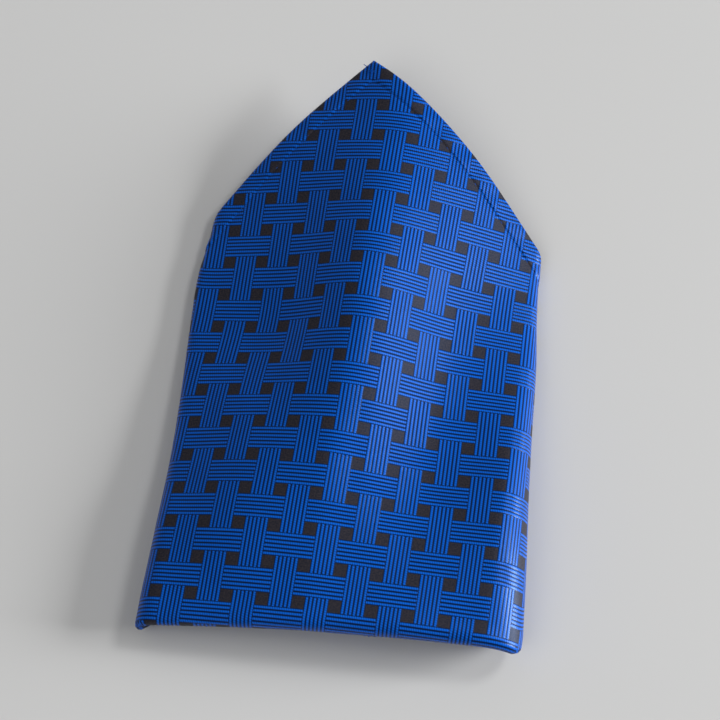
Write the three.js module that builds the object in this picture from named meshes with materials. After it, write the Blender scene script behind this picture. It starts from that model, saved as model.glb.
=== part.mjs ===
// A silk pocket square folded for a breast pocket, lying on a table with its front up.
// It is one sheet of cloth. The sheet is turned up along its bottom fold, so that it lies in two
// layers with its tip at the top, and its two side corners are then turned behind the front.
import * as THREE from 'three';

// Lengths are in millimetres. u and v are places in the flat cloth, along its weave: u = 0 is the
// middle of the front, v = 0 is the bottom fold, v > 0 is the front and v < 0 the back.
// x, y and z are places in the folded cloth: x across, y towards the tip, z up from the table.
const CLOTH = 1.0;
const LAYER_GAP = 0.5;
const LAYER_STEP = CLOTH + LAYER_GAP;
const PAIR_STEP = 2 * LAYER_STEP;

// A table with named columns, one row for each list of values.
function table(columns, ...rows) {
  return rows.map((row) => Object.fromEntries(columns.map((name, i) => [name, row[i]])));
}

// The cut of the cloth: its tip, the two hems that run down from the tip, and the back's tip. The
// hems are bowed outwards, by bow at most, at the share at of their length.
const TIP = { u: -13.9, v: 161.5 };
const HEM_RIGHT = { angle: 44.9, length: 196, bow: 4.8, at: 0.24 };
const HEM_LEFT = { angle: 55.9, length: 190, bow: 4.8, at: 0.28 };
const BACK_TIP = { u: 13, v: -120 };
const BOW_SHARES = [0.07, 0.15, 0.24, 0.34, 0.55, 0.78];

// The front is arched. One row for each section across it: y from the bottom fold, the outer edges
// of the two side folds, and the height of its top face over the stations below.
const STATION = { left: -44, flank: -27, ridge: -9, crown: 0, trough: 18, right: 36 };
const SECTIONS = table(
  ['y', 'outLeft', 'outRight', 'left', 'flank', 'ridge', 'crown', 'trough', 'right'],
  [2, -48.6, 46.6, 10.1, 12.8, 14.8, 15.0, 15.2, 14.4],
  [21, -48.2, 45.0, 10.0, 15.0, 16.8, 16.5, 15.6, 16.2],
  [40, -48.0, 43.2, 8.2, 14.6, 18.1, 17.1, 13.9, 15.0],
  [58, -48.6, 41.8, 7.0, 13.0, 18.9, 18.3, 12.8, 12.2],
  [77, -49.7, 40.5, 5.5, 10.4, 19.2, 19.0, 12.0, 9.0],
  [92, -50.2, 38.8, 5.3, 11.0, 19.2, 18.8, 11.6, 6.8],
  [106, -48.8, 37.8, 5.2, 11.2, 18.4, 18.0, 12.0, 5.4],
  [133, -48.6, 37.5, 5.2, 11.0, 16.0, 16.0, 11.6, 5.4],
  [156, -48.6, 37.5, 5.2, 9.0, 14.4, 14.4, 9.6, 5.4],
);

// The front leans to the right on its way up, by LEAN of its height from the bottom fold.
const LEAN = 0.014;

// The bottom fold rises to the right across the weave, and turns back on itself with the flaps.
const FOLD_LINE = { rise: 0.048, level: 1, turnLeft: -52, turnRight: 50 };

// The bottom fold is a soft roll, fullest under the front and tight in the flaps. One row for each
// place across the cloth: the roll's radius to the middle of the cloth. FADE is how far up from the
// roll the front and back layers take to close up on each other.
const ROLL = table(
  ['u', 'radius'],
  [-72, LAYER_STEP / 2],
  [-56, 0.9],
  [-44, 1.3],
  [-27, 2.2],
  [-9, 2.7],
  [18, 2.7],
  [34, 2.2],
  [46, 1.2],
  [58, 0.85],
  [75, LAYER_STEP / 2],
);
const ROLL_ARC = 4.7;
const FADE = 14;

// The flaps' bottom edges are drawn up behind the front, from the side folds inwards.
const SETBACK = { left: -60, right: 54.5, rise: 0.42, knee: 9, most: 5 };

// The right flap lies over the end of the left one and comes down to the table beside it.
const STEP_DOWN = { clear: 1.5, width: 15, reach: 100, foot: 4 };

// How far the curve of a side fold reaches along its tangents, as on a quarter circle.
const ROUND = 0.5523;

// Spacing of the mesh, finest in the folds.
const ACROSS = table(
  ['to', 'step'],
  [-61, 11],
  [-43, 1.35],
  [-37, 3],
  [36, 6.1],
  [62, 1.45],
  [110, 4],
  [130, 9],
);
const ROLL_STEPS = 8;
const FRONT_STEP = 6;
const BACK_STEP = 6;
const SNAP = 0.35;
const PROBE = 0.01;

const rad = THREE.MathUtils.degToRad;
const lerp = THREE.MathUtils.lerp;

// A smooth curve through the points of a table: key names the column that x is looked up in, and
// column the one that is read.
function along(rows, key, column, x) {
  const last = rows.length - 1;
  const at = THREE.MathUtils.clamp(x, rows[0][key], rows[last][key]);
  let i = 0;
  while (i < last - 1 && at > rows[i + 1][key]) i += 1;
  const slope = (k) => {
    const low = rows[Math.max(k - 1, 0)];
    const high = rows[Math.min(k + 1, last)];
    return (high[column] - low[column]) / (high[key] - low[key]);
  };
  const a = rows[i];
  const b = rows[i + 1];
  const span = b[key] - a[key];
  const t = (at - a[key]) / span;
  const bend = (a[column] * (1 + 2 * t) + slope(i) * span * t) * (1 - t) ** 2;
  return bend + (b[column] * (3 - 2 * t) - slope(i + 1) * span * (1 - t)) * t ** 2;
}

function smooth(t) {
  const c = THREE.MathUtils.clamp(t, 0, 1);
  return c * c * (3 - 2 * c);
}

// The points of a quarter turn from a to b, leaving a along da and reaching b along db.
function turn(a, da, b, db, count) {
  const reachA = ROUND * Math.abs((b.x - a.x) * da.x + (b.z - a.z) * da.z);
  const reachB = ROUND * Math.abs((b.x - a.x) * db.x + (b.z - a.z) * db.z);
  const curve = new THREE.CubicBezierCurve(
    new THREE.Vector2(a.x, a.z),
    new THREE.Vector2(a.x + da.x * reachA, a.z + da.z * reachA),
    new THREE.Vector2(b.x - db.x * reachB, b.z - db.z * reachB),
    new THREE.Vector2(b.x, b.z),
  );
  return curve.getPoints(count).map((p) => ({ x: p.x, z: p.y }));
}

// A hem from the tip to its corner, as points along its bow. side is 1 to the right, -1 to the left.
function hemLine(hem, side) {
  const alongU = side * Math.cos(rad(hem.angle));
  const alongV = -Math.sin(rad(hem.angle));
  return [...BOW_SHARES, 1].map((share) => {
    const from = share < hem.at ? share / hem.at : (1 - share) / (1 - hem.at);
    const out = hem.bow * (1 - (1 - from) ** 2);
    const run = hem.length * share;
    return {
      u: TIP.u + alongU * run - side * alongV * out,
      v: TIP.v + alongV * run + side * alongU * out,
    };
  });
}

// The outline of the flat cloth, in order round it.
const LEFT_HEM = hemLine(HEM_LEFT, -1);
const RIGHT_HEM = hemLine(HEM_RIGHT, 1);
const OUTLINE = [TIP, ...LEFT_HEM, BACK_TIP, ...RIGHT_HEM.slice().reverse()];

// Where the left flap's front hem ends, measured along the cloth, at height v up the front.
function leftHemReach(v) {
  const line = [TIP, ...LEFT_HEM];
  const k = Math.max(line.findIndex((p) => p.v <= v), 1);
  if (line[line.length - 1].v > v) return -line[line.length - 1].u;
  const a = line[k - 1];
  const b = line[k];
  return -lerp(a.u, b.u, (a.v - v) / (a.v - b.v));
}

// One section across the folded cloth at y: the path of the front layer from the end of the left
// flap, round the left fold, over the front, round the right fold and along the right flap, with
// the cloth's length along it measured from the middle of the front.
function section(y) {
  const read = (column) => along(SECTIONS, 'y', column, y);
  const stations = Object.keys(STATION).map((name) => ({ x: STATION[name], top: read(name) }));
  const front = [];
  const width = STATION.right - STATION.left;
  for (let i = 0; i <= width; i += 1) {
    const x = STATION.left + i;
    front.push({ x, z: along(stations, 'x', 'top', x) - CLOTH / 2 });
  }
  const low = CLOTH / 2;
  const side = (end, next, out) => {
    const inward = Math.sign(end.x - out);
    const steep = Math.hypot(end.x - next.x, end.z - next.z);
    const leave = { x: (end.x - next.x) / steep, z: (end.z - next.z) / steep };
    const waist = { x: out + inward * CLOTH / 2, z: (end.z + low) / 2 };
    const foot = { x: waist.x + inward * (waist.z - low), z: low };
    const upper = turn(end, leave, waist, { x: 0, z: -1 }, 12);
    const lower = turn(waist, { x: 0, z: -1 }, foot, { x: inward, z: 0 }, 12);
    return upper.slice(1).concat(lower.slice(1));
  };
  const leftFold = side(front[0], front[1], read('outLeft'));
  const rightFold = side(front[width], front[width - 1], read('outRight'));
  const leftFoot = leftFold[leftFold.length - 1];
  const rightFoot = rightFold[rightFold.length - 1];
  const leftFlap = [{ x: leftFoot.x + STEP_DOWN.reach, z: low }];

  const back = leftFold.slice().reverse();
  const path = leftFlap.concat(back, front);
  const middle = leftFlap.length + back.length - STATION.left;
  const length = [0];
  for (let i = 1; i < path.length; i += 1) {
    length.push(length[i - 1] + Math.hypot(path[i].x - path[i - 1].x, path[i].z - path[i - 1].z));
  }
  const atFoot = length[middle] - length[leftFlap.length];
  const hemX = leftFoot.x + leftHemReach(y + ROLL_ARC) - atFoot;
  const lift = (x) => PAIR_STEP * smooth((hemX + STEP_DOWN.clear - x) / STEP_DOWN.width + 1);
  for (const p of rightFold) {
    const share = smooth((rightFoot.z + STEP_DOWN.foot - p.z) / STEP_DOWN.foot);
    path.push({ x: p.x, z: p.z + lift(rightFoot.x) * share });
  }
  for (let i = 1; i <= STEP_DOWN.reach; i += 1) {
    path.push({ x: rightFoot.x - i, z: low + lift(rightFoot.x - i) });
  }
  for (let i = length.length; i < path.length; i += 1) {
    length.push(length[i - 1] + Math.hypot(path[i].x - path[i - 1].x, path[i].z - path[i - 1].z));
  }
  return { path, length, middle };
}

// The front layer's place at u along a section, and the direction into the folded cloth.
function pointOn(cut, u) {
  const want = cut.length[cut.middle] + u;
  let i = 0;
  let top = cut.length.length - 2;
  while (i < top) {
    const half = Math.floor((i + top + 1) / 2);
    if (cut.length[half] > want) top = half - 1;
    else i = half;
  }
  const step = (k) => {
    const a = cut.path[Math.max(k - 1, 0)];
    const b = cut.path[Math.min(k + 1, cut.path.length - 1)];
    const size = Math.hypot(b.x - a.x, b.z - a.z);
    return { x: (b.x - a.x) / size, z: (b.z - a.z) / size };
  };
  const t = (want - cut.length[i]) / (cut.length[i + 1] - cut.length[i]);
  const from = step(i);
  const to = step(i + 1);
  const way = new THREE.Vector2(lerp(from.x, to.x, t), lerp(from.z, to.z, t)).normalize();
  return {
    x: lerp(cut.path[i].x, cut.path[i + 1].x, t),
    z: lerp(cut.path[i].z, cut.path[i + 1].z, t),
    inX: way.y,
    inZ: -way.x,
  };
}

function setback(u) {
  const past = Math.max(SETBACK.left - u, u - SETBACK.right) + SETBACK.knee;
  return SETBACK.most * smooth(past * SETBACK.rise / SETBACK.most);
}

// Where the bottom fold crosses the weave at u.
function foldLine(u) {
  const turned = 2 * THREE.MathUtils.clamp(u, FOLD_LINE.turnLeft, FOLD_LINE.turnRight) - u;
  return FOLD_LINE.rise * (turned - FOLD_LINE.level);
}

// Folds the flat cloth: the middle of the sheet at u, v.
function fold(u, v) {
  const radius = along(ROLL, 'u', 'radius', u);
  const arc = radius * Math.PI / 2;
  const line = foldLine(u);
  const up = v - line;
  let y = line + Math.abs(up) - ROLL_ARC;
  let depth = 0;
  if (Math.abs(up) < arc) {
    y = line + arc - radius * Math.cos(up / radius) - ROLL_ARC;
    depth = radius * (1 - Math.sin(up / radius));
  } else if (up < 0) {
    const tight = LAYER_STEP / 2;
    depth = 2 * lerp(tight, radius, Math.exp(-(((-up - arc) / FADE) ** 2)));
  }
  const p = pointOn(section(y), u);
  return new THREE.Vector3(p.x + depth * p.inX + LEAN * y, y + setback(u), p.z + depth * p.inZ);
}

// The direction out of the sheet's right side at u, v.
function normal(u, v) {
  const du = fold(u + PROBE, v).sub(fold(u - PROBE, v));
  const dv = fold(u, v + PROBE).sub(fold(u, v - PROBE));
  return du.cross(dv).normalize();
}

// The lines of the mesh across the cloth.
function linesAcross() {
  const lines = [Math.floor(LEFT_HEM[LEFT_HEM.length - 1].u) - 1];
  for (const zone of ACROSS) {
    const from = lines[lines.length - 1];
    const count = Math.round((zone.to - from) / zone.step);
    for (let i = 1; i <= count; i += 1) lines.push(lerp(from, zone.to, i / count));
  }
  return lines;
}

// The places of one line of the mesh along the cloth, from the back's tip to the front's.
function placesAlong(u) {
  const arc = along(ROLL, 'u', 'radius', u) * Math.PI / 2;
  const line = foldLine(u);
  const places = [];
  const backCount = Math.round(-BACK_TIP.v / BACK_STEP);
  for (let i = backCount; i > 0; i -= 1) {
    places.push(lerp(line - arc, BACK_TIP.v - 1, i / backCount));
  }
  for (let i = 0; i < ROLL_STEPS; i += 1) places.push(line + arc * (2 * i / ROLL_STEPS - 1));
  const frontCount = Math.round(TIP.v / FRONT_STEP);
  for (let i = 0; i <= frontCount; i += 1) {
    places.push(lerp(line + arc, TIP.v + 1, i / frontCount));
  }
  return places;
}

// The edges of the cut, each with its inward direction.
function edges() {
  return OUTLINE.map((a, i) => {
    const b = OUTLINE[(i + 1) % OUTLINE.length];
    const size = Math.hypot(b.u - a.u, b.v - a.v);
    return { a, inU: -(b.v - a.v) / size, inV: (b.u - a.u) / size };
  });
}

const EDGES = edges();
const inside = (edge, p) => (p.u - edge.a.u) * edge.inU + (p.v - edge.a.v) * edge.inV;

// Draws a mesh point that nearly touches an edge of the cut onto that edge.
function snapped(p) {
  const place = { ...p };
  for (const edge of EDGES) {
    const off = inside(edge, place);
    if (Math.abs(off) < SNAP) {
      place.u -= off * edge.inU;
      place.v -= off * edge.inV;
    }
  }
  return place;
}

// Cuts one cell of the mesh to the cloth's outline.
function trimmed(cell) {
  let ring = cell;
  for (const edge of EDGES) {
    const kept = [];
    ring.forEach((p, i) => {
      const q = ring[(i + 1) % ring.length];
      const here = inside(edge, p);
      const next = inside(edge, q);
      if (here > -1e-6) kept.push(p);
      if ((here > 1e-6 && next < -1e-6) || (here < -1e-6 && next > 1e-6)) {
        const t = here / (here - next);
        kept.push({ u: lerp(p.u, q.u, t), v: lerp(p.v, q.v, t) });
      }
    });
    ring = kept;
  }
  return ring;
}

// The flat cloth as triangles: a list of places and a list of three indices for each triangle.
function flatCloth() {
  const across = linesAcross();
  const grid = across.map((u) => placesAlong(u).map((v) => snapped({ u, v })));
  const places = [];
  const known = new Map();
  const index = (p) => {
    const key = `${Math.round(p.u * 1000)},${Math.round(p.v * 1000)}`;
    if (!known.has(key)) {
      known.set(key, places.length);
      places.push(p);
    }
    return known.get(key);
  };
  const triangles = [];
  for (let i = 0; i + 1 < grid.length; i += 1) {
    for (let j = 0; j + 1 < grid[i].length; j += 1) {
      const ring = trimmed([grid[i][j], grid[i + 1][j], grid[i + 1][j + 1], grid[i][j + 1]]).map(index);
      const clean = ring.filter((p, k) => p !== ring[(k + 1) % ring.length]);
      for (let k = 1; k + 1 < clean.length; k += 1) triangles.push([clean[0], clean[k], clean[k + 1]]);
    }
  }
  return { places, triangles };
}

// The folded sheet with its thickness: its right side, its wrong side, and the cut edge between.
function foldedCloth() {
  const { places, triangles } = flatCloth();
  const count = places.length;
  const position = new Float32Array(count * 6);
  places.forEach((p, i) => {
    const middle = fold(p.u, p.v);
    const half = normal(p.u, p.v).multiplyScalar(CLOTH / 2);
    middle.clone().add(half).toArray(position, i * 3);
    middle.clone().sub(half).toArray(position, (i + count) * 3);
  });
  const faces = [];
  const rim = new Map();
  for (const [a, b, c] of triangles) {
    faces.push(a, b, c, c + count, b + count, a + count);
    for (const [p, q] of [[a, b], [b, c], [c, a]]) {
      if (!rim.delete(`${q},${p}`)) rim.set(`${p},${q}`, [p, q]);
    }
  }
  for (const [p, q] of rim.values()) {
    faces.push(q, p, p + count, q, p + count, q + count);
  }
  const geometry = new THREE.BufferGeometry();
  geometry.setAttribute('position', new THREE.BufferAttribute(position, 3));
  geometry.setIndex(faces);
  geometry.computeVertexNormals();
  return geometry;
}

const silk = new THREE.MeshStandardMaterial({ color: 0x0f4fc0, roughness: 0.5, metalness: 0 });
const cloth = new THREE.Mesh(foldedCloth(), silk);
cloth.name = 'pocket_square';
cloth.geometry.computeBoundingBox();

// The origin is on the table, under the middle of the folded cloth.
const box = cloth.geometry.boundingBox;
cloth.position.set(-(box.min.x + box.max.x) / 2, -(box.min.y + box.max.y) / 2, -box.min.z);

const pocketSquare = new THREE.Group();
pocketSquare.add(cloth);

export default pocketSquare;
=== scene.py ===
"""The looks of a folded silk pocket square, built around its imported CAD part.

The cloth is one square of jacquard silk with a turned hem. It is meshed flat, along its hems, and
each point is then carried to its place in the fold. The weave is drawn on the flat cloth, so it
runs over every fold as the real one does.
"""

import math

import bpy
import numpy as np
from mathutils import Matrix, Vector


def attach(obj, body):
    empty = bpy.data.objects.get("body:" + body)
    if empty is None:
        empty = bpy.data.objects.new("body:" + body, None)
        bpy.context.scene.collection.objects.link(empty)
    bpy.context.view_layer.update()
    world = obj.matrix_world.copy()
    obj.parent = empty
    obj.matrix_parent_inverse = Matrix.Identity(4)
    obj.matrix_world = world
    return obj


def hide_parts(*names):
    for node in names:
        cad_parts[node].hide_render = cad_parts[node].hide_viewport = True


bl_info = {
    "name": "Folded silk pocket square",
    "version": (1, 0, 0),
    "blender": (4, 5, 0),
    "location": "3D View > Sidebar > Pocket square",
    "description": "Makes a folded pocket square of jacquard silk, its hem stitches and its stage",
    "category": "Object",
}

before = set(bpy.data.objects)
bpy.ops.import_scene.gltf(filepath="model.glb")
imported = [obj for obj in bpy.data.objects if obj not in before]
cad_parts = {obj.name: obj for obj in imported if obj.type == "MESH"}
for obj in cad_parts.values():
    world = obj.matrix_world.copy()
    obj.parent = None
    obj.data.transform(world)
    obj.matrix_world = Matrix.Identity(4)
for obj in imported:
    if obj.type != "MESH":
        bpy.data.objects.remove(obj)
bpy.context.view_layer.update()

MM = 0.001

# Places in the flat cloth are u and v, along its weave, in millimetres: u = 0 is the middle of the
# front, v = 0 is the bottom fold, v > 0 is the front and v < 0 the back. Places in the folded cloth
# are x across, y from the bottom fold towards the tip, and z up from the table.
TIP = (-13.9, 161.5)
RIGHT_CORNER = (124.9, 23.1)
BACK_TIP = (13.0, -120.0)
LEFT_CORNER = (-120.4, 4.2)

# The two hems below the tip are bowed outwards: how far, and where along the hem it is most.
BOW_RIGHT = (4.8, 0.24)
BOW_LEFT = (4.8, 0.28)

# The arched front. STATIONS are places across it. Each row of SECTIONS is y, the outer edges of the
# two side folds, and the height of the front's top face at each station.
STATIONS = (-44, -27, -9, 0, 18, 36)
SECTIONS = np.array([
    # y, left edge, right edge, then the heights
    [2, -48.6, 46.6, 10.1, 12.8, 14.8, 15.0, 15.2, 14.4],
    [21, -48.2, 45.0, 10.0, 15.0, 16.8, 16.5, 15.6, 16.2],
    [40, -48.0, 43.2, 8.2, 14.6, 18.1, 17.1, 13.9, 15.0],
    [58, -48.6, 41.8, 7.0, 13.0, 18.9, 18.3, 12.8, 12.2],
    [77, -49.7, 40.5, 5.5, 10.4, 19.2, 19.0, 12.0, 9.0],
    [92, -50.2, 38.8, 5.3, 11.0, 19.2, 18.8, 11.6, 6.8],
    [106, -48.8, 37.8, 5.2, 11.2, 18.4, 18.0, 12.0, 5.4],
    [133, -48.6, 37.5, 5.2, 11.0, 16.0, 16.0, 11.6, 5.4],
    [156, -48.6, 37.5, 5.2, 9.0, 14.4, 14.4, 9.6, 5.4],
])

# The whole front leans a little to the right on its way up, and the bottom fold rises to the right.
LEAN = 0.014
FOLD_RISE = 0.048
FOLD_LEVEL = 1.0
FOLD_TURNS = (-52.0, 50.0)

# The bottom fold is a soft roll: place across the cloth, and the roll's radius there.
ROLL = np.array([
    [-72, 0.75],
    [-56, 0.9],
    [-44, 1.3],
    [-27, 2.2],
    [-9, 2.7],
    [18, 2.7],
    [34, 2.2],
    [46, 1.2],
    [58, 0.85],
    [75, 0.75],
])
ROLL_ARC = 4.7
FADE = 14.0

# The flaps' bottom edges are drawn up behind the front.
SETBACK_LEFT = -60.0
SETBACK_RIGHT = 54.5
SETBACK_RISE = 0.42
SETBACK_KNEE = 9.0
SETBACK_MOST = 5.0

# The right flap lies over the end of the left one and comes down to the table beside it.
PAIR_STEP = 3.0
TIGHT = 0.75
STEP_CLEAR = 1.5
STEP_WIDTH = 15.0
STEP_FOOT = 4.0
FLAP_REACH = 100.0

# The flaps' lower layer lies this high, so that its hem and stitches rest on the table.
FLAP_REST = 0.55

# How far the curve of a side fold reaches along its tangents, as on a quarter circle.
ROUND = 0.5523

# The folded cloth's middle, in the places above: the part's origin is under it.
MIDDLE = (-1.09, 74.84)

# The table of folded places: its span along y and u, wider than the cloth's, and its spacing, finer
# than the mesh. Then the step that finds the sheet's direction from two places.
PLACE_Y = (-6, 160)
PLACE_U = (-128, 140)
PLACE_STEP = 0.5
NORMAL_STEP = 0.05

# The cloth's side, which the mesh's lines are spaced along.
SIDE = 190.0

# The turned hem: the radius of its edge, how thin the edge gets, its build-up outwards and inwards
# as shares of half the cloth's thickness, the width over which that build-up ends, and the width of
# the groove that its stitches draw in.
HEM_ROUND = 1.1
HEM_THINNEST = 0.1
HEM_OUT = 0.9
HEM_IN = 1.5
HEM_END = 0.6
GROOVE_WIDTH = 0.35

# Lines of the mesh near an edge, from the edge and from the hem's line of stitches.
EDGE_LINES = (0, 0.12, 0.35, 0.8, 1.6, 2.6, 3.6)
GROOVE_LINES = (-0.5, -0.2, 0, 0.2, 0.5, 1)

# The hem's two small waves, in radians for each millimetre of u and v.
PUCKER_WAVES = ((0.83, 0.31), (-0.24, 0.97))

# The weave is drawn a little aside where the hems' corner is folded in at the tip.
TIP_DRAWN = (0.8, -0.4)
TIP_REACH = 11.0

# Threads: sides of their section, how thin their ends are, a direction that none of them takes, and
# the points along a stitch, a crossed thread and the loose end.
THREAD_SIDES = 5
THREAD_END = 0.4
THREAD_ASIDE = (0.13, 0.31, 0.94)
STITCH_POINTS = 6
CROSS_POINTS = 7
LOOSE_POINTS = 12

# A stitch of the hem: its ends' and its arch's height over the middle of the sheet, and how much of
# the stitch shows between one hole and the next.
STITCH_SUNK = -0.08
STITCH_ARCH = 0.24
STITCH_SHARE = 0.78

# The power that shapes a crossed thread's arch: the lower, the steeper its ends rise.
CROSS_RISE = 0.6

# The threads crossed under the tip, where the hem's two lines of stitches end.
TIP_CROSS = np.array([
    # from u, v and to u, v, both from the tip, and the thread's height over the middle of the sheet
    [-1.5, -2.6, 0.6, -4.9, 0.42],
    [-0.7, -2.1, 1.2, -4.3, 0.40],
    [0.9, -2.3, -1.3, -4.5, 0.50],
    [1.4, -3.1, -0.7, -5.3, 0.48],
])

# The loose end of that thread, which sticks out beside the tip.
LOOSE_END = np.array([
    # u and v from the tip, and height over the middle of the sheet
    [0.2, -3.2, 0.1],
    [-0.7, -2.7, 0.45],
    [-1.5, -2.2, 0.5],
    [-2.1, -1.7, 0.35],
    [-2.6, -1.3, 0.3],
])

# Where the weave's first repeat starts on the flat cloth, in repeats.
WEAVE_START = (5, -0.74, 0)

# The ribbons' silk: where on a ridge its blue starts and is full, its usual share of the full blue,
# how much the floats' beads change the ridge's width, painted light and shade, and height, how
# unevenly the ribbons take the light, and the size in millimetres of the patches that they take it
# in.
# The navy toward the grooves is partly the weave's dark lines and partly painted shade in the
# grooves; the full blue at each ridge's crown is partly a painted highlight.
RIDGE_BLUE = (0.42, 0.95)
BLUE_SHARE = 0.93
BEAD_WIDTH = 0.12
BEAD_PAINTED_SHADING = 0.16
BEAD_HEIGHT = 0.08
UNEVEN_SHADE = 0.35
UNEVEN_PATCH = 7.14

# The ground's specks: the noise's values where they start and are full.
SPECKS = (0.35, 0.7)

# The ridges' height in millimetres, and how strongly it turns the light.
RIDGE_HEIGHT = 0.14
RIDGE_STRENGTH = 0.42

# Gloss: roughness of the ground, the ribbons, the thread and the table, then how much the silk
# reflects, and its thin sheen.
GROUND_ROUGHNESS = 0.5
RIBBON_ROUGHNESS = 0.33
THREAD_ROUGHNESS = 0.5
TABLE_ROUGHNESS = 0.6
SILK_SPECULAR = 0.48
SHEEN_WEIGHT = 0.02
SHEEN_ROUGHNESS = 0.35

# The stage, in metres: the table's side and how far it lies under the cloth, the strength of the
# light from all round, the camera's lens and sensor in millimetres, and the place it looks at.
TABLE_SIDE = 6
TABLE_DROP = 0.0002
SKY_STRENGTH = 0.22
LENS = 150
SENSOR = 36
AIM = (-0.00217, -0.00394, 0.01)
LAMPS = (
    # name, place in metres, side in metres, watts, whether the gloss shows it
    ("key", (2.84, 0.4, 0.88), 1.15, 130.0, True),
    ("softbox", (1.0, 0.58, 1.39), 0.4, 7.0, True),
    ("fill", (-0.6, -1.0, 1.5), 1.2, 8.5, False),
)


def linear(code):
    """A colour's linear values from its sRGB hex code."""
    parts = [int(code[i:i + 2], 16) / 255 for i in (1, 3, 5)]
    return [p / 12.92 if p <= 0.04045 else ((p + 0.055) / 1.055) ** 2.4 for p in parts]


def smooth(t):
    """0 below t = 0, 1 above t = 1, and a soft S between."""
    t = np.clip(t, 0, 1)
    return t * t * (3 - 2 * t)


def along(knots, values, at):
    """The smooth curve through values at knots, read at the places at."""
    knots, values = np.asarray(knots, float), np.asarray(values, float)
    last = len(knots) - 1
    low, high = np.maximum(np.arange(last + 1) - 1, 0), np.minimum(np.arange(last + 1) + 1, last)
    slope = (values[high] - values[low]) / (knots[high] - knots[low])
    at = np.clip(at, knots[0], knots[-1])
    i = np.clip(np.searchsorted(knots, at) - 1, 0, last - 1)
    span = knots[i + 1] - knots[i]
    t = (at - knots[i]) / span
    start = (values[i] * (1 + 2 * t) + slope[i] * span * t) * (1 - t) ** 2
    return start + (values[i + 1] * (3 - 2 * t) - slope[i + 1] * span * (1 - t)) * t ** 2


def turn(a, leave, b, reach, count=24):
    """Points of a quarter turn from a to b, leaving a along leave and reaching b along reach."""
    a, leave, b, reach = (np.array(p, float) for p in (a, leave, b, reach))
    start = a + leave * ROUND * abs(np.dot(b - a, leave))
    end = b - reach * ROUND * abs(np.dot(b - a, reach))
    t = np.linspace(0, 1, count + 1)[1:, None]
    return a * (1 - t) ** 3 + 3 * start * t * (1 - t) ** 2 + 3 * end * t ** 2 * (1 - t) + b * t ** 3


def hem_line(corner, bow, share, fade=1):
    """Places u, v on the hem from the tip to a corner, bowed outwards."""
    way = np.subtract(corner, TIP) / math.dist(corner, TIP)
    near = np.where(share < bow[1], share / bow[1], (1 - share) / (1 - bow[1]))
    out = bow[0] * (1 - (1 - near) ** 2) * fade * np.sign(way[0])
    run = share * math.dist(corner, TIP)
    return TIP[0] + way[0] * run - way[1] * out, TIP[1] + way[1] * run + way[0] * out


def lengths(path):
    """The length along a path of points, at each point."""
    return np.concatenate([[0], np.cumsum(np.hypot(*np.diff(path, axis=0).T))])


def section(y, thickness):
    """The front layer's path across the folded cloth at y: its points and its length from x = 0."""
    row = [float(along(SECTIONS[:, 0], SECTIONS[:, k], y)) for k in range(1, SECTIONS.shape[1])]
    low = FLAP_REST
    x = np.arange(STATIONS[0], STATIONS[-1] + PLACE_STEP / 2, PLACE_STEP)
    front = np.stack([x, along(STATIONS, row[2:], x) - thickness / 2], 1)

    def side(end, before, edge):
        """The side fold's turn, from the front's end round to the flap's foot."""
        inward = np.sign(end[0] - edge)
        leave = (end - before) / np.hypot(*(end - before))
        waist = np.array([edge + inward * thickness / 2, (end[1] + low) / 2])
        foot = np.array([waist[0] + inward * (waist[1] - low), low])
        lower = turn(waist, (0, -1), foot, (inward, 0))
        return np.concatenate([turn(end, leave, waist, (0, -1)), lower])

    left = side(front[0], front[1], row[0])
    right = side(front[-1], front[-2], row[1])
    flap = np.array([[left[-1, 0] + FLAP_REACH, low]])
    path = np.concatenate([flap, left[::-1], front])
    length = lengths(path)
    middle = 1 + len(left) + int(-STATIONS[0] / PLACE_STEP)

    # Where the left flap ends under the right one, whose end is lifted over it.
    hem_u, hem_v = hem_line(LEFT_CORNER, BOW_LEFT, np.linspace(0, 1, 60))
    reach = -np.interp(y + ROLL_ARC, hem_v[::-1], hem_u[::-1])
    hem_x = left[-1, 0] + reach - (length[middle] - length[1])
    lift = lambda x: PAIR_STEP * smooth((hem_x + STEP_CLEAR - x) / STEP_WIDTH + 1)
    foot = right[-1].copy()
    right[:, 1] += lift(foot[0]) * smooth((foot[1] + STEP_FOOT - right[:, 1]) / STEP_FOOT)
    x = foot[0] - np.arange(PLACE_STEP, FLAP_REACH, PLACE_STEP)
    path = np.concatenate([path, right, np.stack([x, low + lift(x)], 1)])
    return path, lengths(path) - length[middle]


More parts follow.
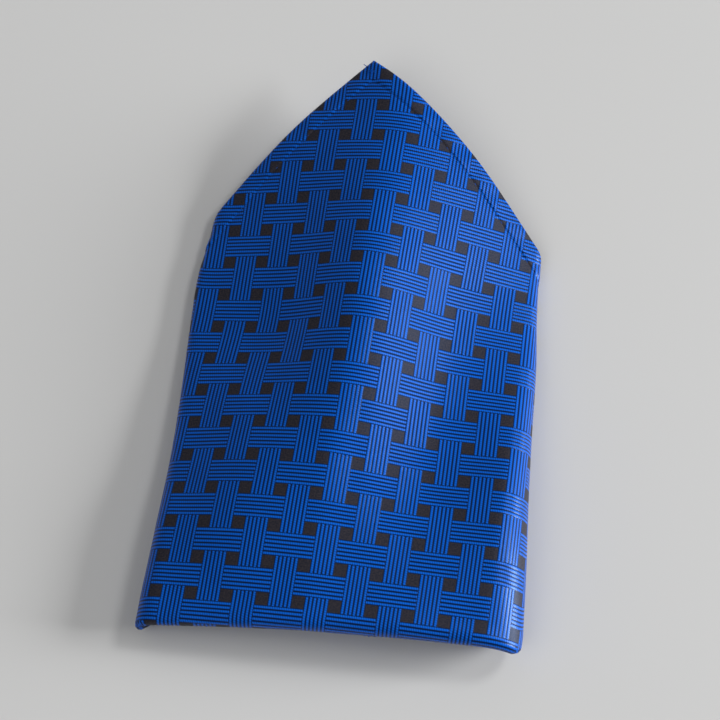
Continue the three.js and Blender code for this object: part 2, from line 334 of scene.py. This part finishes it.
class FoldedCloth:
    """The front layer's places over the whole cloth, as a fine table to read between."""

    def __init__(self, thickness):
        self.y = np.arange(*PLACE_Y, PLACE_STEP)
        self.u = np.arange(*PLACE_U, PLACE_STEP)
        rows = []
        for y in self.y:
            path, length = section(y, thickness)
            rows.append(np.stack([np.interp(self.u, length, path[:, k]) for k in (0, 1)], 1))
        places = np.array(rows)
        way = np.gradient(places, PLACE_STEP, axis=1)
        way /= np.linalg.norm(way, axis=2, keepdims=True)
        self.table = np.concatenate([places, way], 2)

    def front_layer(self, u, y):
        """x, z and the direction across the cloth at u, y."""
        i = np.clip((y - self.y[0]) / PLACE_STEP, 0, len(self.y) - 1.001)
        j = np.clip((u - self.u[0]) / PLACE_STEP, 0, len(self.u) - 1.001)
        a, b = i.astype(int), j.astype(int)
        s, t = (i - a)[:, None], (j - b)[:, None]
        near = self.table[a, b] * (1 - t) + self.table[a, b + 1] * t
        far = self.table[a + 1, b] * (1 - t) + self.table[a + 1, b + 1] * t
        return (near * (1 - s) + far * s).T

    def fold(self, u, v):
        """The middle of the sheet at u, v, as x, y, z in millimetres."""
        radius = along(ROLL[:, 0], ROLL[:, 1], u)
        arc = radius * math.pi / 2
        across = np.clip(u, *FOLD_TURNS)
        line = FOLD_RISE * (2 * across - u - FOLD_LEVEL)
        w = v - line
        in_roll = np.abs(w) < arc
        y = line + np.where(in_roll, arc - radius * np.cos(w / radius), np.abs(w)) - ROLL_ARC
        closed = TIGHT + (radius - TIGHT) * np.exp(-(((-w - arc) / FADE) ** 2))
        depth = np.where(in_roll, radius * (1 - np.sin(w / radius)), np.where(w < 0, 2 * closed, 0))
        past = np.maximum(SETBACK_LEFT - u, u - SETBACK_RIGHT) + SETBACK_KNEE
        back = SETBACK_MOST * smooth(past * SETBACK_RISE / SETBACK_MOST)
        x, z, way_x, way_z = self.front_layer(u, y)
        place = np.stack([x + depth * way_z + LEAN * y, y + back, z - depth * way_x], 1)
        return place - np.array([*MIDDLE, 0])

    def normal(self, u, v):
        """The direction out of the sheet's right side at u, v."""
        step = NORMAL_STEP
        across = self.fold(u + step, v) - self.fold(u - step, v)
        up = self.fold(u, v + step) - self.fold(u, v - step)
        normal = np.cross(across, up)
        return normal / np.linalg.norm(normal, axis=1, keepdims=True)

    def over(self, u, v, height):
        """The places at a height over the middle of the sheet at u, v."""
        return self.fold(u, v) + self.normal(u, v) * height[:, None]


def length_property(name, description, default):
    """A property of a length in metres."""
    return bpy.props.FloatProperty(
        name=name, description=description, default=default, unit="LENGTH", precision=5
    )


def colour_property(name, description, code):
    """A property of a colour, from its sRGB hex code."""
    return bpy.props.FloatVectorProperty(
        name=name, description=description, default=linear(code), subtype="COLOR"
    )


def angle_property(name, description, degrees):
    """A property of an angle, from its degrees."""
    return bpy.props.FloatProperty(
        name=name, description=description, default=math.radians(degrees), subtype="ANGLE"
    )


class PocketSquareCloth(bpy.types.PropertyGroup):
    """Sizes of the cloth and its hem."""

    thickness: length_property("Thickness", "Thickness of the silk", 0.00045)
    hem: length_property("Hem", "Depth of the turned hem", 0.0048)
    groove: length_property("Stitch groove", "How far the stitches draw the hem in", 0.00013)
    stitch: length_property("Stitch", "From one stitch of the hem to the next", 0.0024)
    thread: length_property("Thread", "Radius of the sewing thread", 0.0001)
    pucker: length_property("Pucker", "How far the hem waves between its stitches", 0.00006)
    spacing: length_property("Mesh spacing", "Distance between the lines of the mesh", 0.00095)


class PocketSquareWeave(bpy.types.PropertyGroup):
    """Sizes and colours of the basket weave."""

    repeat_across: length_property("Repeat across", "From one lengthwise ribbon to the next", 0.009)
    repeat_along: length_property("Repeat along", "From one crosswise ribbon to the next", 0.00935)
    ribbon_share: bpy.props.FloatProperty(
        name="Ribbon share", description="Width of a ribbon as a share of the repeat",
        default=0.655, subtype="FACTOR", min=0.2, max=0.95
    )
    ridges: bpy.props.IntProperty(name="Ridges", description="Ridges along each ribbon", default=6)
    float_length: length_property("Float", "Length of a thread's float along a ridge", 0.0006)
    ground_thread: length_property("Ground thread", "Spacing of the ground's threads", 0.00035)
    # The ridge blue is full only at the crowns, partly a painted highlight; the groove navy is
    # partly painted shade between the ridges.
    ridge_colour: colour_property("Ridge", "Blue of the ribbons' ridges", "#005fd2")
    groove_colour: colour_property("Groove", "Navy between the ridges", "#011334")
    ground_colour: colour_property("Ground", "Charcoal squares between the ribbons", "#1a181b")
    speck_colour: colour_property("Specks", "Lighter threads in the charcoal squares", "#38302e")
    gloss_colour: colour_property("Gloss", "Tint of the silk's gloss", "#9cc0ff")


class PocketSquareStage(bpy.types.PropertyGroup):
    """The table, the lights and the camera."""

    table_colour: colour_property("Table", "Colour of the table", "#cdcdcc")
    sky_colour: colour_property("Sky", "Colour of the light from all round", "#fdfdff")
    azimuth: angle_property("Azimuth", "Camera's turn to the cloth's right", 7.95)
    elevation: angle_property("Elevation", "Camera's height over the table", 65.5)
    distance: bpy.props.FloatProperty(
        name="Distance", description="From the camera to the cloth", default=0.7652, unit="LENGTH"
    )


def add_node(tree, kind, settings, inputs):
    """Adds a shader node, with its settings, and its inputs as values or as links from outputs."""
    node = tree.nodes.new("ShaderNode" + kind)
    for name, value in settings.items():
        setattr(node, name, value)
    for name, value in inputs.items():
        if isinstance(value, bpy.types.NodeSocket):
            tree.links.new(value, node.inputs[name])
        else:
            node.inputs[name].default_value = value
    return node


def new_material(name):
    """A new node material, its tree, and its one Principled shader, linked to the output."""
    material = bpy.data.materials.new(name)
    material.use_nodes = True
    tree = material.node_tree
    tree.nodes.clear()
    shader = tree.nodes.new("ShaderNodeBsdfPrincipled")
    output = tree.nodes.new("ShaderNodeOutputMaterial")
    tree.links.new(shader.outputs["BSDF"], output.inputs["Surface"])
    return material, tree, shader


def jacquard_silk(weave):
    """Jacquard woven silk: ribbed blue ribbons in a basket weave over a charcoal ground."""
    # Its smooth filaments give a bluish gloss that follows the folds. The ribs break it into fine
    # lines, brighter where they cross the light, and the plainer ground stays dull and dark.
    material, tree, shader = new_material("jacquard woven silk")
    add = lambda kind, inputs, **settings: add_node(tree, kind, settings, inputs).outputs

    flat = add("UVMap", {}, uv_map="flat cloth")["UV"]
    scale = (1 / weave.repeat_across, 1 / weave.repeat_along, 1)
    moved = {"Vector": flat, "Scale": scale, "Location": WEAVE_START}
    place = add("SeparateXYZ", {"Vector": add("Mapping", moved)["Vector"]})
    half = weave.ribbon_share / 2

    def ribbon(place):
        """Whether a ribbon is here, 0 or 1, and the place across its ridges."""
        inside = add("Math", {0: place}, operation="FRACT")[0]
        aside = add("Math", {0: inside, 1: 0.5}, operation="SUBTRACT")[0]
        from_middle = add("Math", {0: aside}, operation="ABSOLUTE")[0]
        here = add("Math", {0: from_middle, 1: half}, operation="LESS_THAN")[0]
        from_edge = add("Math", {0: inside, 1: 0.5 - half}, operation="SUBTRACT")[0]
        across = {0: from_edge, 1: weave.ridges / weave.ribbon_share}
        return here, add("Math", across, operation="MULTIPLY")[0]

    # Where both sets of ribbons cross, they pass over and under each other by turns.
    lengthwise, across_lengthwise = ribbon(place["X"])
    crosswise, across_crosswise = ribbon(place["Y"])
    column = add("Math", {0: place["X"]}, operation="FLOOR")[0]
    row = add("Math", {0: place["Y"]}, operation="FLOOR")[0]
    count = add("Math", {0: column, 1: row}, operation="ADD")[0]
    odd = add("Math", {0: count, 1: 2.0}, operation="FLOORED_MODULO")[0]
    under = add("Math", {0: lengthwise, 1: odd}, operation="MULTIPLY")[0]
    clear = add("Math", {0: 1.0, 1: under}, operation="SUBTRACT")[0]
    on_top = add("Math", {0: crosswise, 1: clear}, operation="MULTIPLY")[0]
    covered = add("Math", {0: lengthwise, 1: crosswise}, operation="MAXIMUM")[0]
    ways = {"Factor": on_top, "A": across_lengthwise, "B": across_crosswise}
    across = add("Mix", ways, data_type="FLOAT")["Result"]
    in_ridge = add("Math", {0: across}, operation="FRACT")[0]
    half_turn = add("Math", {0: in_ridge, 1: math.pi}, operation="MULTIPLY")[0]
    ridge = add("Math", {0: half_turn}, operation="SINE")[0]

    # Each ridge is a row of short floats, which show as beads that step from ridge to ridge, in
    # height and in painted light and shade. They are drawn longer than real floats, which are too
    # fine to show.
    lengths_along = {"Factor": on_top, "A": place["Y"], "B": place["X"]}
    along_ridge = add("Mix", lengths_along, data_type="FLOAT")["Result"]
    beads_a_repeat = weave.repeat_along / weave.float_length
    beads = add("Math", {0: along_ridge, 1: beads_a_repeat}, operation="MULTIPLY")[0]
    aside = add("Math", {0: across, 1: 0.5}, operation="MULTIPLY")[0]
    step = add("Math", {0: beads, 1: aside}, operation="ADD")[0]
    turns = add("Math", {0: step, 1: 2 * math.pi}, operation="MULTIPLY")[0]
    bead = add("Math", {0: turns}, operation="SINE")[0]
    wider = add("Math", {0: bead, 1: BEAD_WIDTH}, operation="MULTIPLY")[0]
    beaded = add("Math", {0: ridge, 1: wider}, operation="ADD")[0]
    # The blue rises from navy in the grooves to full at the crowns: partly the weave's dark lines,
    # partly painted shade in the grooves and a painted highlight on the crowns.
    span = {"Value": beaded, "From Min": RIDGE_BLUE[0], "From Max": RIDGE_BLUE[1]}
    ridge_painted_shading = add("MapRange", span)["Result"]

    # The ribbons take the light a little unevenly, as their floats lie tighter or looser.
    patches = {"Vector": flat, "Scale": 1 / (UNEVEN_PATCH * MM), "Detail": 2.0}
    uneven = add("TexNoise", patches)["Fac"]
    from_even = add("Math", {0: uneven, 1: 0.5}, operation="SUBTRACT")[0]
    uneven_shade = add("Math", {0: from_even, 1: UNEVEN_SHADE}, operation="MULTIPLY")[0]
    # Painted light and shade: each bead is drawn lighter and darker along its ridge, as light falls
    # on a rounded float.
    bead_painted_shading = add("Math", {0: bead, 1: BEAD_PAINTED_SHADING}, operation="MULTIPLY")[0]
    shade = add("Math", {0: bead_painted_shading, 1: uneven_shade}, operation="ADD")[0]
    share = add("Math", {0: BLUE_SHARE, 1: shade}, operation="ADD")[0]
    blue_place = add("Math", {0: ridge_painted_shading, 1: share}, operation="MULTIPLY")[0]
    blues = {"Factor": blue_place, 6: (*weave.groove_colour, 1), 7: (*weave.ridge_colour, 1)}
    blue = add("Mix", blues, data_type="RGBA")[2]

    # The ground is a plain weave of dark threads with a few lighter ones. The threads are drawn
    # wider than real ones, which are too fine to show.
    threads = {"Vector": flat, "Scale": 1 / weave.ground_thread, "Detail": 1.0}
    specks = add("TexNoise", threads)["Fac"]
    span = {"Value": specks, "From Min": SPECKS[0], "From Max": SPECKS[1]}
    speck_place = add("MapRange", span)["Result"]
    greys = {"Factor": speck_place, 6: (*weave.ground_colour, 1), 7: (*weave.speck_colour, 1)}
    ground = add("Mix", greys, data_type="RGBA")[2]

    higher = add("Math", {0: bead, 1: BEAD_HEIGHT}, operation="MULTIPLY")[0]
    raised = add("Math", {0: ridge, 1: higher}, operation="ADD")[0]
    height = add("Math", {0: raised, 1: covered}, operation="MULTIPLY")[0]
    relief = {"Height": height, "Distance": RIDGE_HEIGHT * MM, "Strength": RIDGE_STRENGTH}
    colours = {"Factor": covered, 6: ground, 7: blue}
    roughness = {"Factor": covered, "A": GROUND_ROUGHNESS, "B": RIBBON_ROUGHNESS}
    tree.links.new(add("Bump", relief)["Normal"], shader.inputs["Normal"])
    tree.links.new(add("Mix", colours, data_type="RGBA")[2], shader.inputs["Base Color"])
    tree.links.new(
        add("Mix", roughness, data_type="FLOAT")["Result"], shader.inputs["Roughness"]
    )
    gloss = (*weave.gloss_colour, 1)
    shader.inputs["Specular Tint"].default_value = gloss
    shader.inputs["Specular IOR Level"].default_value = SILK_SPECULAR
    shader.inputs["Sheen Weight"].default_value = SHEEN_WEIGHT
    shader.inputs["Sheen Roughness"].default_value = SHEEN_ROUGHNESS
    shader.inputs["Sheen Tint"].default_value = gloss
    return material


def sewing_thread(weave):
    """Twisted silk sewing thread in the cloth's blues."""
    # Painted light and shade stand for the twist's light and dark turns along each stitch, and a
    # softer gloss than the woven silk's lets the stitches read as thread and not as part of the
    # pattern.
    material, tree, shader = new_material("twisted silk thread")
    place = add_node(tree, "TexCoord", {}, {}).outputs["Object"]
    turns = {"Vector": place, "Scale": 1 / weave.float_length, "Detail": 2.0}
    # Painted light and shade of the twist's turns, from noise between the navy and the blue.
    twist_painted_shading = add_node(tree, "TexNoise", {}, turns).outputs["Fac"]
    blues = {"Factor": twist_painted_shading, 6: (*weave.groove_colour, 1), 7: (*weave.ridge_colour, 1)}
    colour = add_node(tree, "Mix", {"data_type": "RGBA"}, blues).outputs[2]
    tree.links.new(colour, shader.inputs["Base Color"])
    shader.inputs["Roughness"].default_value = THREAD_ROUGHNESS
    shader.inputs["Specular Tint"].default_value = (*weave.gloss_colour, 1)
    return material


def flat_place(s, t):
    """The place u, v in the flat cloth at shares s and t of its two sides from the tip."""
    shares = [(1 - s) * (1 - t), s * (1 - t), s * t, (1 - s) * t]
    corners = [TIP, RIGHT_CORNER, BACK_TIP, LEFT_CORNER]
    place = np.array([sum(w * c[k] for w, c in zip(shares, corners)) for k in (0, 1)])
    hems = ((RIGHT_CORNER, BOW_RIGHT, s, 1 - t), (LEFT_CORNER, BOW_LEFT, t, 1 - s))
    for corner, bow, share, fade in hems:
        place += np.array(hem_line(corner, bow, share, fade)) - hem_line(corner, bow, share, 0)
    return place


def mesh_lines(props):
    """Lines of the mesh along one side, as distances in millimetres, close together at the hems."""
    hem = props.hem / MM
    near = [*EDGE_LINES, *(hem + line for line in GROOVE_LINES)]
    count = int((SIDE - 2 * near[-1]) / (props.spacing / MM))
    inner = np.linspace(near[-1], SIDE - near[-1], count)[1:-1]
    return np.concatenate([near, inner, SIDE - np.array(near[::-1])])


def new_piece(name, vertices, faces):
    """A mesh object from places in millimetres, smooth shaded."""
    mesh = bpy.data.meshes.new(name)
    mesh.from_pydata(np.asarray(vertices) * MM, [], faces)
    mesh.update()
    mesh.shade_smooth()
    piece = bpy.data.objects.new(name, mesh)
    bpy.context.scene.collection.objects.link(piece)
    return piece


def cloth_sheet(cloth, props):
    """The folded sheet with its thickness, hem and flat-cloth map, as a new object."""
    lines = mesh_lines(props) / SIDE
    s, t = np.meshgrid(lines, lines, indexing="ij")
    u, v = (part.ravel() for part in flat_place(s, t))
    edge = SIDE * np.minimum(np.minimum(s, 1 - s), np.minimum(t, 1 - t)).ravel()

    half = props.thickness / MM / 2
    hem = props.hem / MM
    rim = np.sqrt(np.clip(1 - (1 - np.clip(edge / HEM_ROUND, 0, 1)) ** 2, HEM_THINNEST ** 2, 1))
    groove = props.groove / MM * np.exp(-(((edge - hem) / GROOVE_WIDTH) ** 2))
    turned = 1 - smooth((edge - hem) / HEM_END + 0.5)
    waves = sum(np.sin(u * per_u + v * per_v) for per_u, per_v in PUCKER_WAVES)
    pucker = props.pucker / MM * turned * waves
    top = cloth.over(u, v, half * (1 + HEM_OUT * turned) * rim - groove + pucker * rim)
    bottom = cloth.over(u, v, -half * (1 + HEM_IN * turned) * rim)

    n = s.size
    index = np.arange(n).reshape(s.shape)
    a, b = index[:-1, :-1].ravel(), index[1:, :-1].ravel()
    c, d = index[1:, 1:].ravel(), index[:-1, 1:].ravel()
    ring = np.concatenate([index[:-1, 0], index[-1, :-1], index[:0:-1, -1], index[0, :0:-1]])
    after = np.roll(ring, -1)
    faces = [np.stack([a, d, c, b], 1), np.stack([a, b, c, d], 1) + n]
    faces.append(np.stack([ring, after, after + n, ring + n], 1))

    sheet = new_piece("silk_cloth", np.concatenate([top, bottom]), np.concatenate(faces).tolist())
    corners = np.zeros(len(sheet.data.loops), int)
    sheet.data.loops.foreach_get("vertex_index", corners)
    drawn = np.exp(-(((u - TIP[0]) ** 2 + (v - TIP[1]) ** 2) / TIP_REACH ** 2))
    flat = np.stack([u + TIP_DRAWN[0] * drawn, v + TIP_DRAWN[1] * drawn], 1) * MM
    sheet.data.uv_layers.new(name="flat cloth").data.foreach_set("uv", flat[corners % n].ravel())
    return sheet


def thread_piece(name, paths, radius):
    """Closed round threads along paths of points, as one new object."""
    vertices, faces = [], []
    angle = np.arange(THREAD_SIDES) * 2 * math.pi / THREAD_SIDES
    for path in paths:
        way = np.gradient(path, axis=0)
        way /= np.linalg.norm(way, axis=1, keepdims=True)
        side = np.cross(way, THREAD_ASIDE)
        side /= np.linalg.norm(side, axis=1, keepdims=True)
        up = np.cross(way, side)
        ring = side[:, None] * np.cos(angle)[:, None] + up[:, None] * np.sin(angle)[:, None]
        size = np.full((len(path), 1, 1), radius)
        size[[0, -1]] *= THREAD_END
        first = len(vertices)
        vertices.extend((path[:, None] + ring * size).reshape(-1, 3))
        index = first + np.arange(len(path) * THREAD_SIDES).reshape(len(path), THREAD_SIDES)
        after = np.roll(index, -1, axis=1)
        walls = [index[:-1], after[:-1], after[1:], index[1:]]
        faces.extend(np.stack(walls, 2).reshape(-1, 4).tolist())
        faces.extend([index[0, ::-1].tolist(), index[-1].tolist()])
    return new_piece(name, vertices, faces)


def hem_stitches(cloth, props):
    """The paths of the stitches that hold the turned hem down, along all four hems."""
    hem, pitch = props.hem / MM / SIDE, props.stitch / MM / SIDE
    run = np.linspace(0, 1, STITCH_POINTS)
    height = STITCH_SUNK + STITCH_ARCH * np.sin(run * math.pi)
    paths = []
    for start in np.arange(hem, 1 - hem - pitch, pitch):
        at = start + (run * STITCH_SHARE + (1 - STITCH_SHARE) / 2) * pitch
        for s, t in ((hem, at), (at, hem), (1 - hem, at), (at, 1 - hem)):
            paths.append(cloth.over(*flat_place(s + 0 * at, t + 0 * at), height))
    return paths


def tip_threads(cloth):
    """The paths of the crossed threads under the tip and of the loose end beside it."""
    paths = []
    run = np.linspace(0, 1, CROSS_POINTS)
    for from_u, from_v, to_u, to_v, height in TIP_CROSS:
        u = TIP[0] + from_u + (to_u - from_u) * run
        v = TIP[1] + from_v + (to_v - from_v) * run
        paths.append(cloth.over(u, v, height * np.sin(run * math.pi) ** CROSS_RISE))
    knots = np.arange(len(LOOSE_END))
    at = np.linspace(0, knots[-1], LOOSE_POINTS)
    u, v, height = (along(knots, LOOSE_END[:, k], at) for k in range(3))
    paths.append(cloth.over(u + TIP[0], v + TIP[1], height))
    return paths


class POCKETSQUARE_OT_stage(bpy.types.Operator):
    """Adds the table, the lights and the camera"""

    bl_idname = "pocketsquare.stage"
    bl_label = "Stage"

    def execute(self, context):
        stage = context.scene.pocket_square_stage
        bpy.ops.mesh.primitive_plane_add(size=TABLE_SIDE, location=(0, 0, -TABLE_DROP))
        table = context.object
        table.name = "table"
        # Matt card gives soft shadows and an even pale grey, with no reflection of the cloth.
        material, _, shader = new_material("matt card")
        shader.inputs["Base Color"].default_value = (*stage.table_colour, 1)
        shader.inputs["Roughness"].default_value = TABLE_ROUGHNESS
        table.data.materials.append(material)

        world = bpy.data.worlds.new("studio")
        context.scene.world = world
        world.use_nodes = True
        sky = world.node_tree.nodes["Background"]
        sky.inputs["Color"].default_value = (*stage.sky_colour, 1)
        sky.inputs["Strength"].default_value = SKY_STRENGTH

        for name, place, size, power, glossy in LAMPS:
            light = bpy.data.lights.new(name, "AREA")
            light.size = size
            light.energy = power
            lamp = bpy.data.objects.new(name, light)
            context.scene.collection.objects.link(lamp)
            lamp.visible_glossy = glossy
            lamp.location = place
            lamp.rotation_euler = (-Vector(place)).to_track_quat("-Z", "Y").to_euler()

        camera = bpy.data.objects.new("camera", bpy.data.cameras.new("camera"))
        context.scene.collection.objects.link(camera)
        camera.data.lens = LENS
        camera.data.sensor_width = SENSOR
        a, e = stage.azimuth, stage.elevation
        back = Vector((math.sin(a) * math.cos(e), -math.cos(a) * math.cos(e), math.sin(e)))
        camera.location = Vector(AIM) + back * stage.distance
        camera.rotation_euler = back.to_track_quat("Z", "Y").to_euler()
        context.scene.camera = camera
        context.scene.view_settings.view_transform = "Standard"
        return {"FINISHED"}


class POCKETSQUARE_OT_threads(bpy.types.Operator):
    """Makes the hem's stitches and the threads at the tip"""

    bl_idname = "pocketsquare.threads"
    bl_label = "Sewing threads"

    def execute(self, context):
        props = context.scene.pocket_square_cloth
        cloth = FoldedCloth(props.thickness / MM)
        material = sewing_thread(context.scene.pocket_square_weave)
        radius = props.thread / MM
        pieces = {"hem_stitches": hem_stitches(cloth, props), "tip_threads": tip_threads(cloth)}
        for name, paths in pieces.items():
            threads = thread_piece(name, paths, radius)
            threads.data.materials.append(material)
            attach(threads, "root")
        return {"FINISHED"}


class POCKETSQUARE_OT_cloth(bpy.types.Operator):
    """Makes the folded cloth of jacquard silk"""

    bl_idname = "pocketsquare.cloth"
    bl_label = "Silk cloth"

    def execute(self, context):
        props = context.scene.pocket_square_cloth
        sheet = cloth_sheet(FoldedCloth(props.thickness / MM), props)
        sheet.data.materials.append(jacquard_silk(context.scene.pocket_square_weave))
        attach(sheet, "root")
        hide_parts("pocket_square")
        return {"FINISHED"}


class POCKETSQUARE_PT_panel(bpy.types.Panel):
    """The steps that make the pocket square"""

    bl_label = "Pocket square"
    bl_idname = "POCKETSQUARE_PT_panel"
    bl_space_type = "VIEW_3D"
    bl_region_type = "UI"
    bl_category = "Pocket square"

    def draw(self, context):
        for operator in STEPS:
            self.layout.operator(operator.bl_idname)


STEPS = (POCKETSQUARE_OT_stage, POCKETSQUARE_OT_threads, POCKETSQUARE_OT_cloth)
GROUPS = (
    ("pocket_square_cloth", PocketSquareCloth),
    ("pocket_square_weave", PocketSquareWeave),
    ("pocket_square_stage", PocketSquareStage),
)


def register():
    """Registers the sizes, the steps and the panel."""
    for name, group in GROUPS:
        bpy.utils.register_class(group)
        setattr(bpy.types.Scene, name, bpy.props.PointerProperty(type=group))
    for step in STEPS:
        bpy.utils.register_class(step)
    bpy.utils.register_class(POCKETSQUARE_PT_panel)


def unregister():
    """Takes away what register added."""
    bpy.utils.unregister_class(POCKETSQUARE_PT_panel)
    for step in reversed(STEPS):
        bpy.utils.unregister_class(step)
    for name, group in reversed(GROUPS):
        delattr(bpy.types.Scene, name)
        bpy.utils.unregister_class(group)


def main():
    """Makes every piece."""
    register()
    bpy.ops.pocketsquare.stage()
    bpy.ops.pocketsquare.threads()
    bpy.ops.pocketsquare.cloth()


if __name__ == "__main__":
    main()
